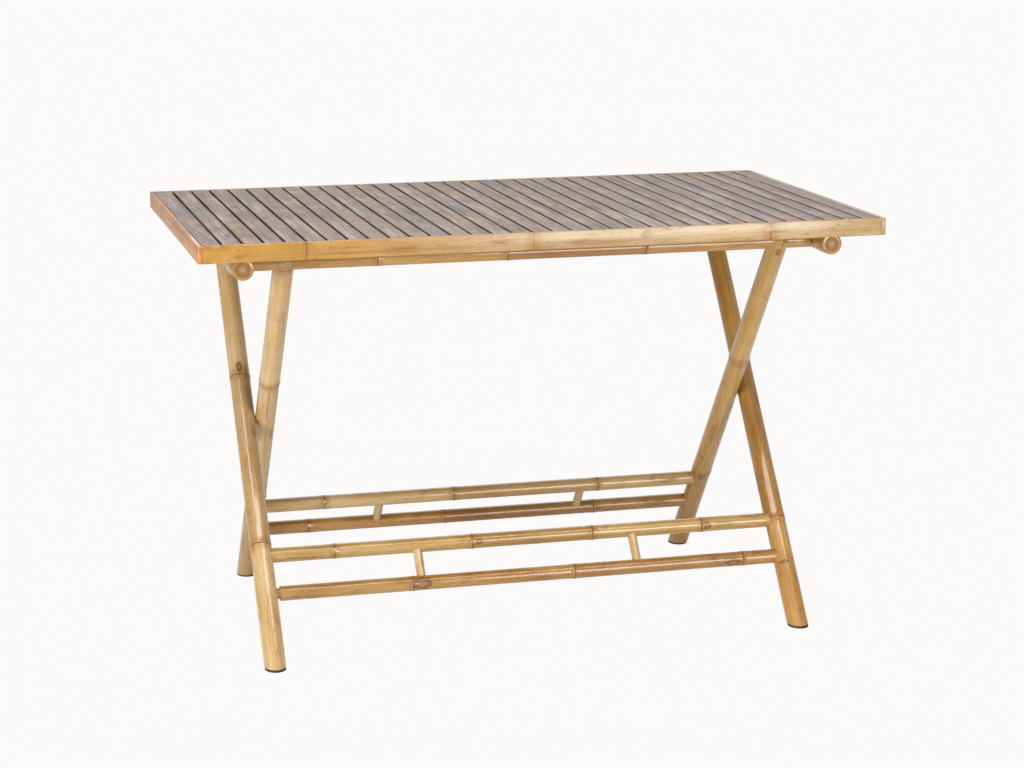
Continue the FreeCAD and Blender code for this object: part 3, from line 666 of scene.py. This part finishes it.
# Across a ring on a slat: how far along it, and the share of the full bulge.
SLAT_PROFILE = ((-0.016, 0.0), (-0.005, 0.6), (0.0, 1.0), (0.006, 0.5), (0.018, 0.0))

# Each light: its name, place, aim, width, height and power.
LIGHTS = (
    ("key", (-3.9, -1.9, 1.25), (0, 0, 0.5), 0.6, 2.4, 104),
    ("fill", (1.6, -4.0, 0.9), (0, 0, 0.4), 1.6, 1.4, 60),
    ("top", (-0.3, -1.6, 3.2), (0, 0, 0.5), 3.4, 0.6, 44),
    ("rear", (0.6, 3.6, 2.4), (0, 0, 0.6), 3.6, 1.4, 30),
)
# What the camera sees behind the table.
BACKDROP = (0.973, 0.956, 0.947, 1)
# Where the camera stands, its yaw, pitch and roll in radians, and its lens in mm.
CAMERA_PLACE = (-1.08945, -4.30106, 1.36468)
CAMERA_TURN = (0.2516, -0.2106, -0.0031)
CAMERA_LENS = 86.55


def light_world(scene):
    """Soft even light all round, behind a near-white backdrop."""
    world = scene.world or bpy.data.worlds.new("studio")
    scene.world = world
    world.use_nodes = True
    tree = world.node_tree
    tree.nodes.clear()
    backdrop = add(tree, "ShaderNodeBackground", {"Color": BACKDROP, "Strength": 1.0})
    glow = add(tree, "ShaderNodeBackground", {"Color": (0.96, 0.97, 1.0, 1), "Strength": 0.40})
    seen = tree.nodes.new("ShaderNodeLightPath").outputs["Is Camera Ray"]
    blend = add(tree, "ShaderNodeMixShader", {0: seen, 1: glow.outputs[0], 2: backdrop.outputs[0]})
    add(tree, "ShaderNodeOutputWorld", {0: blend.outputs[0]})


class BAMBOO_OT_stage(bpy.types.Operator):
    """Floor, soft lights and the camera"""
    bl_idname = "bamboo_table.stage"
    bl_label = "Stage"

    def execute(self, context):
        clear_choice()
        colours = context.scene.bamboo_table_colours
        bpy.ops.mesh.primitive_plane_add(size=60, location=(0, 0, 0))
        floor = context.object
        floor.name = "floor"
        material, tree, shader = new_material("Studio floor", 0.9, specular=0.1)[:3]
        shader.inputs["Base Color"].default_value = tuple(colours.floor) + (1,)
        backdrop = add(tree, "ShaderNodeEmission", {"Color": BACKDROP, "Strength": 1.0})
        seen = tree.nodes.new("ShaderNodeLightPath").outputs["Is Camera Ray"]
        blend = add(tree, "ShaderNodeMixShader", {0: seen, 1: shader.outputs[0], 2: backdrop.outputs[0]})
        below = tree.nodes.new("ShaderNodeNewGeometry").outputs["Backfacing"]
        clear = tree.nodes.new("ShaderNodeBsdfTransparent")
        cut = add(tree, "ShaderNodeMixShader", {0: below, 1: blend.outputs[0], 2: clear.outputs[0]})
        tree.links.new(cut.outputs[0], tree.nodes["Material Output"].inputs["Surface"])
        floor.data.materials.append(material)
        light_world(context.scene)
        context.scene.view_settings.view_transform = "Standard"
        for name, spot, aim, width, height, power in LIGHTS:
            turn = (Vector(aim) - Vector(spot)).to_track_quat("-Z", "Y").to_euler()
            bpy.ops.object.light_add(type="AREA", location=spot, rotation=turn)
            lamp = context.object
            lamp.name = name
            lamp.data.shape = "RECTANGLE"
            lamp.data.size = width
            lamp.data.size_y = height
            lamp.data.energy = power
        yaw, pitch, roll = CAMERA_TURN
        bpy.ops.object.camera_add(location=CAMERA_PLACE)
        camera = context.object
        aim = Vector((math.sin(yaw) * math.cos(pitch), math.cos(yaw) * math.cos(pitch), math.sin(pitch)))
        camera.rotation_mode = "QUATERNION"
        camera.rotation_quaternion = aim.to_track_quat("-Z", "Y") @ Quaternion((0, 0, 1), roll)
        camera.data.sensor_width = 36
        camera.data.lens = CAMERA_LENS
        context.scene.camera = camera
        return {"FINISHED"}


class BAMBOO_OT_legs(bpy.types.Operator):
    """The four crossed legs"""
    bl_idname = "bamboo_table.legs"
    bl_label = "Legs"

    def execute(self, context):
        sizes = context.scene.bamboo_table_sizes
        for name, leg in LEGS.items():
            low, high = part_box(name)
            inner = leg["frame"] == "inner"
            hinge = HINGE if inner else TOP_BAR
            ring = leg["ring"] - UPPER_ARM
            rings = [ring - INTERNODE, ring]
            pole = {"low": -LEG_LENGTH - LEG_SPARE, "high": sizes.leg_radius * LEG_TOP_SHARE,
                    "low_radius": sizes.foot_radius, "high_radius": sizes.leg_radius,
                    "rings": rings, "top_round": LEG_TOP_ROUND,
                    "origin": ((low.x + high.x) / 2, hinge.y, hinge.z),
                    "turn": (LEAN if inner else -LEAN, 0, 0)}
            piece = grow_pole(pole, sizes)
            pads = "inner_foot_pads" if inner else "outer_foot_pads"
            pad_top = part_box(pads)[1].z
            bpy.ops.object.mode_set(mode="EDIT")
            slice_at((0, 0, pad_top), (0, 0, 1), clear_inner=True, use_fill=True)
            bpy.ops.object.mode_set(mode="OBJECT")
            scars = [((x, y, z - UPPER_ARM), size) for (x, y, z), size in leg["scars"]]
            marks = rings + [leg["top_mark"]] if "top_mark" in leg else rings
            material = bamboo_material(f"Bamboo {name}", pole["origin"], pole["turn"], marks,
                                       leg["tones"], scars)
            finish_piece(piece, f"{name}_culm", f"{leg['frame']}_frame", [name], material)
        return {"FINISHED"}


class BAMBOO_OT_rails(bpy.types.Operator):
    """The stretchers, the axle bar and the rear top bar"""
    bl_idname = "bamboo_table.rails"
    bl_label = "Stretchers and bars"

    def execute(self, context):
        sizes = context.scene.bamboo_table_sizes
        for name, rail in RAILS.items():
            low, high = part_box(name)
            middle = (low + high) / 2
            pole = {"low": low.x, "high": high.x,
                    "low_radius": sizes.rail_radius, "high_radius": sizes.rail_radius,
                    "rings": rail["rings"], "origin": (0, middle.y, middle.z), "turn": ALONG_X}
            if name == "front_lower_stretcher":
                pole["necks"] = [(low.x + 0.0245, -1, 0.7)]
            if name == "front_axle_bar":
                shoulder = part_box("right_crossbar")[0].x - 0.001
                pole["necks"] = [(-shoulder, -1, 0.75), (shoulder, 1, 0.75)]
            piece = grow_pole(pole, sizes)
            scars = [((-z, y, x), size) for (z, y, x), size in rail["scars"]]
            material = bamboo_material(f"Bamboo {name}", pole["origin"], pole["turn"], rail["rings"],
                                       rail["tones"], scars, 0.015)
            finish_piece(piece, f"{name}_culm", rail["body"], [name], material)
        return {"FINISHED"}


class BAMBOO_OT_crossbars(bpy.types.Operator):
    """The two cross poles under the top, open at their ends for the plugs"""
    bl_idname = "bamboo_table.crossbars"
    bl_label = "Cross poles"

    def execute(self, context):
        sizes = context.scene.bamboo_table_sizes
        for name in ("left_crossbar", "right_crossbar"):
            low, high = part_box(name)
            middle = (low + high) / 2
            radius = (high.x - low.x) / 2
            rings = (HINGE.y + 0.03, HINGE.y + INTERNODE)
            pole = {"low": low.y, "high": high.y,
                    "low_radius": radius - RING_ROOM, "high_radius": radius - RING_ROOM,
                    "rings": rings, "open_ends": CROSSBAR_WALL, "origin": (middle.x, 0, middle.z), "turn": ALONG_Y}
            piece = grow_pole(pole, sizes)
            material = bamboo_material(f"Bamboo {name}", pole["origin"], ALONG_Y, rings, GOLDEN_TAN)
            finish_piece(piece, f"{name}_culm", "top", [name], material)
        return {"FINISHED"}


def start_block(low, high):
    """A block between two corners, in edit mode."""
    clear_choice()
    bpy.ops.mesh.primitive_cube_add(size=1, location=(low + high) / 2, scale=high - low)
    piece = bpy.context.object
    bpy.ops.object.transform_apply(location=True, rotation=True, scale=True)
    bpy.ops.object.mode_set(mode="EDIT")
    return piece


def runs_along(edge, axis):
    """Whether an edge lies along a coordinate axis."""
    span = edge.verts[1].co - edge.verts[0].co
    return abs(span[axis]) > 0.9 * span.length


class BAMBOO_OT_slats(bpy.types.Operator):
    """The slats, swollen a little where a ring crosses them"""
    bl_idname = "bamboo_table.slats"
    bl_label = "Slats"

    def execute(self, context):
        sizes = context.scene.bamboo_table_sizes
        material = slat_material()
        for index, name in enumerate(SLATS):
            low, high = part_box(name)
            middle = (low + high) / 2
            width = high.x - low.x
            piece = start_block(low, high)
            marks = [(ring + offset, share) for ring in ring_places(index) for offset, share in SLAT_PROFILE]
            marks = [mark for mark in marks if low.y + 0.002 < mark[0] < high.y - 0.002]
            marks += [(low.y + step * (high.y - low.y) / 9, 0.0) for step in range(1, 9)]
            for place, share in marks:
                slice_at((0, place, 0), (0, 1, 0))
            for place, share in marks:
                pick(piece, "VERT", lambda vert: abs(vert.co.y - place) < ON_SLICE)
                swell = 1 + 2 * sizes.slat_bulge * share / width
                bpy.ops.transform.resize(value=(swell, 1, 1), center_override=middle)
                sway = sizes.slat_sway * math.sin(index * 2.7 + place * 19)
                bpy.ops.transform.translate(value=(sway, 0, 0))
            pick(piece, "EDGE", lambda edge: runs_along(edge, 1)
                 and abs(edge.verts[0].co.z - middle.z) > 0.003
                 and len(edge.link_faces) == 2 and edge.calc_face_angle() > 1)
            bpy.ops.mesh.bevel(offset=sizes.slat_edge, segments=3, affect="EDGES")
            finish_piece(piece, f"{name}_strip", "top", [name], material)
        return {"FINISHED"}


# Each edge strip: the axis it runs along, which way is out, and its ring marks (place along it, width).
STRIPS = {
    "front_edge_strip": {"along": 0, "out": -1, "marks": ((-0.421, 0.010), (-0.035, 0.022), (0.387, 0.024))},
    "rear_edge_strip": {"along": 0, "out": 1, "marks": ((-0.30, 0.013), (0.05, 0.014), (0.41, 0.013))},
    "left_edge_strip": {"along": 1, "out": -1, "marks": ((-0.17, 0.014), (0.16, 0.014))},
    "right_edge_strip": {"along": 1, "out": 1, "marks": ((-0.10, 0.014), (0.22, 0.014))},
}


class BAMBOO_OT_edge_strips(bpy.types.Operator):
    """The four edge strips, waisted between their rings, with rounded corners"""
    bl_idname = "bamboo_table.edge_strips"
    bl_label = "Edge strips"

    def execute(self, context):
        sizes = context.scene.bamboo_table_sizes
        pale = ((0.54, 0.375, 0.195), (0.47, 0.300, 0.125), (0.29, 0.150, 0.048))
        gold = ((0.53, 0.290, 0.070), (0.42, 0.195, 0.030), (0.25, 0.095, 0.014))
        red = ((0.63, 0.275, 0.080), (0.53, 0.200, 0.048), (0.33, 0.110, 0.026))
        tones = {"front_edge_strip": (gold, pale), "rear_edge_strip": (pale, gold),
                 "left_edge_strip": (red, red), "right_edge_strip": (pale, gold)}
        for name, strip in STRIPS.items():
            low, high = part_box(name)
            along, out = strip["along"], strip["out"]
            across = 1 - along
            face = high[across] if out > 0 else low[across]
            piece = start_block(low, high)
            normal = (1, 0, 0) if along == 0 else (0, 1, 0)
            for mark, width in strip["marks"]:
                for offset in (-width, 0, width):
                    slice_at(tuple((mark + offset) * part for part in normal), normal)
            spots = [mark for mark, width in strip["marks"]]
            pick(piece, "VERT", lambda vert: abs(vert.co[across] - face) < SAME_PLACE
                 and min(abs(vert.co[along] - spot) for spot in spots) > 0.002
                 and low[along] + 0.01 < vert.co[along] < high[along] - 0.01)
            inward = [0, 0, 0]
            inward[across] = -out * 0.0004
            bpy.ops.transform.translate(value=inward)
            if along == 1:
                pick(piece, "EDGE", lambda edge: runs_along(edge, 2)
                     and all(abs(vert.co.x - face) < SAME_PLACE for vert in edge.verts)
                     and min(abs(edge.verts[0].co.y - low.y), abs(edge.verts[0].co.y - high.y)) < SAME_PLACE)
                bpy.ops.mesh.bevel(offset=sizes.corner_radius, segments=6, affect="EDGES")
            pick(piece, "EDGE", lambda edge: len(edge.link_faces) == 2 and edge.calc_face_angle() > 1)
            bpy.ops.mesh.bevel(offset=sizes.strip_edge, segments=3, affect="EDGES")
            turn = ALONG_X if along == 0 else ALONG_Y
            near, far = tones[name]
            material = strip_material(f"Bamboo {name}", turn, near, far, (-0.36, 0.0), strip["marks"])
            finish_piece(piece, f"{name}_bamboo", "top", [name], material)
        return {"FINISHED"}


class BAMBOO_OT_small_parts(bpy.types.Operator):
    """Finishes for the parts that keep the shape of the frame: battens, plugs, spacers, pads and metal"""
    bl_idname = "bamboo_table.small_parts"
    bl_label = "Small parts"

    def execute(self, context):
        colours = context.scene.bamboo_table_colours
        paint_nodes(("front_batten", "rear_batten"),
                    wood_material("Batten wood", (0.46, 0.29, 0.13), (0.30, 0.17, 0.07), ALONG_X))
        paint_nodes(("crossbar_plugs",), end_grain_material())
        steel = plain_material("Zinc steel", tuple(colours.steel), 0.34, 1.0)
        paint_nodes(("crossbar_screws", "pivot_bolts", "pivot_nuts"), steel)
        pad = plain_material("Foot pad", tuple(colours.pads), 0.6)
        paint_nodes(("inner_foot_pads", "outer_foot_pads"), pad)
        front = bamboo_material("Bamboo front spacers", TOP_BAR, (-LEAN, 0, 0), [], LIGHT_TAN)
        paint_nodes(("front_spacers",), front)
        rear = bamboo_material("Bamboo rear spacers", HINGE, (LEAN, 0, 0), [], LIGHT_TAN)
        paint_nodes(("rear_spacers",), rear)
        return {"FINISHED"}


OPERATORS = (BAMBOO_OT_stage, BAMBOO_OT_legs, BAMBOO_OT_rails, BAMBOO_OT_crossbars, BAMBOO_OT_slats,
             BAMBOO_OT_edge_strips, BAMBOO_OT_small_parts)


class BAMBOO_PT_table(bpy.types.Panel):
    """The table's operators and sizes in the sidebar"""
    bl_idname = "BAMBOO_PT_table"
    bl_label = "Folding bamboo table"
    bl_space_type = "VIEW_3D"
    bl_region_type = "UI"
    bl_category = "Bamboo table"

    def draw(self, context):
        for settings in (context.scene.bamboo_table_sizes, context.scene.bamboo_table_colours):
            for name in settings.__annotations__:
                self.layout.prop(settings, name)
        for operator in OPERATORS:
            self.layout.operator(operator.bl_idname)


CLASSES = (BambooTableSizes, BambooTableColours) + OPERATORS + (BAMBOO_PT_table,)


def register():
    for item in CLASSES:
        bpy.utils.register_class(item)
    bpy.types.Scene.bamboo_table_sizes = bpy.props.PointerProperty(type=BambooTableSizes)
    bpy.types.Scene.bamboo_table_colours = bpy.props.PointerProperty(type=BambooTableColours)


def unregister():
    del bpy.types.Scene.bamboo_table_sizes
    del bpy.types.Scene.bamboo_table_colours
    for item in reversed(CLASSES):
        bpy.utils.unregister_class(item)


def main():
    """Build the table piece by piece."""
    register()
    make_skin_group()
    make_ring_group()
    make_scar_group()
    make_stain_and_sheen_group()
    bpy.ops.bamboo_table.stage()
    bpy.ops.bamboo_table.legs()
    bpy.ops.bamboo_table.rails()
    bpy.ops.bamboo_table.crossbars()
    bpy.ops.bamboo_table.slats()
    bpy.ops.bamboo_table.edge_strips()
    bpy.ops.bamboo_table.small_parts()


if __name__ == "__main__":
    main()
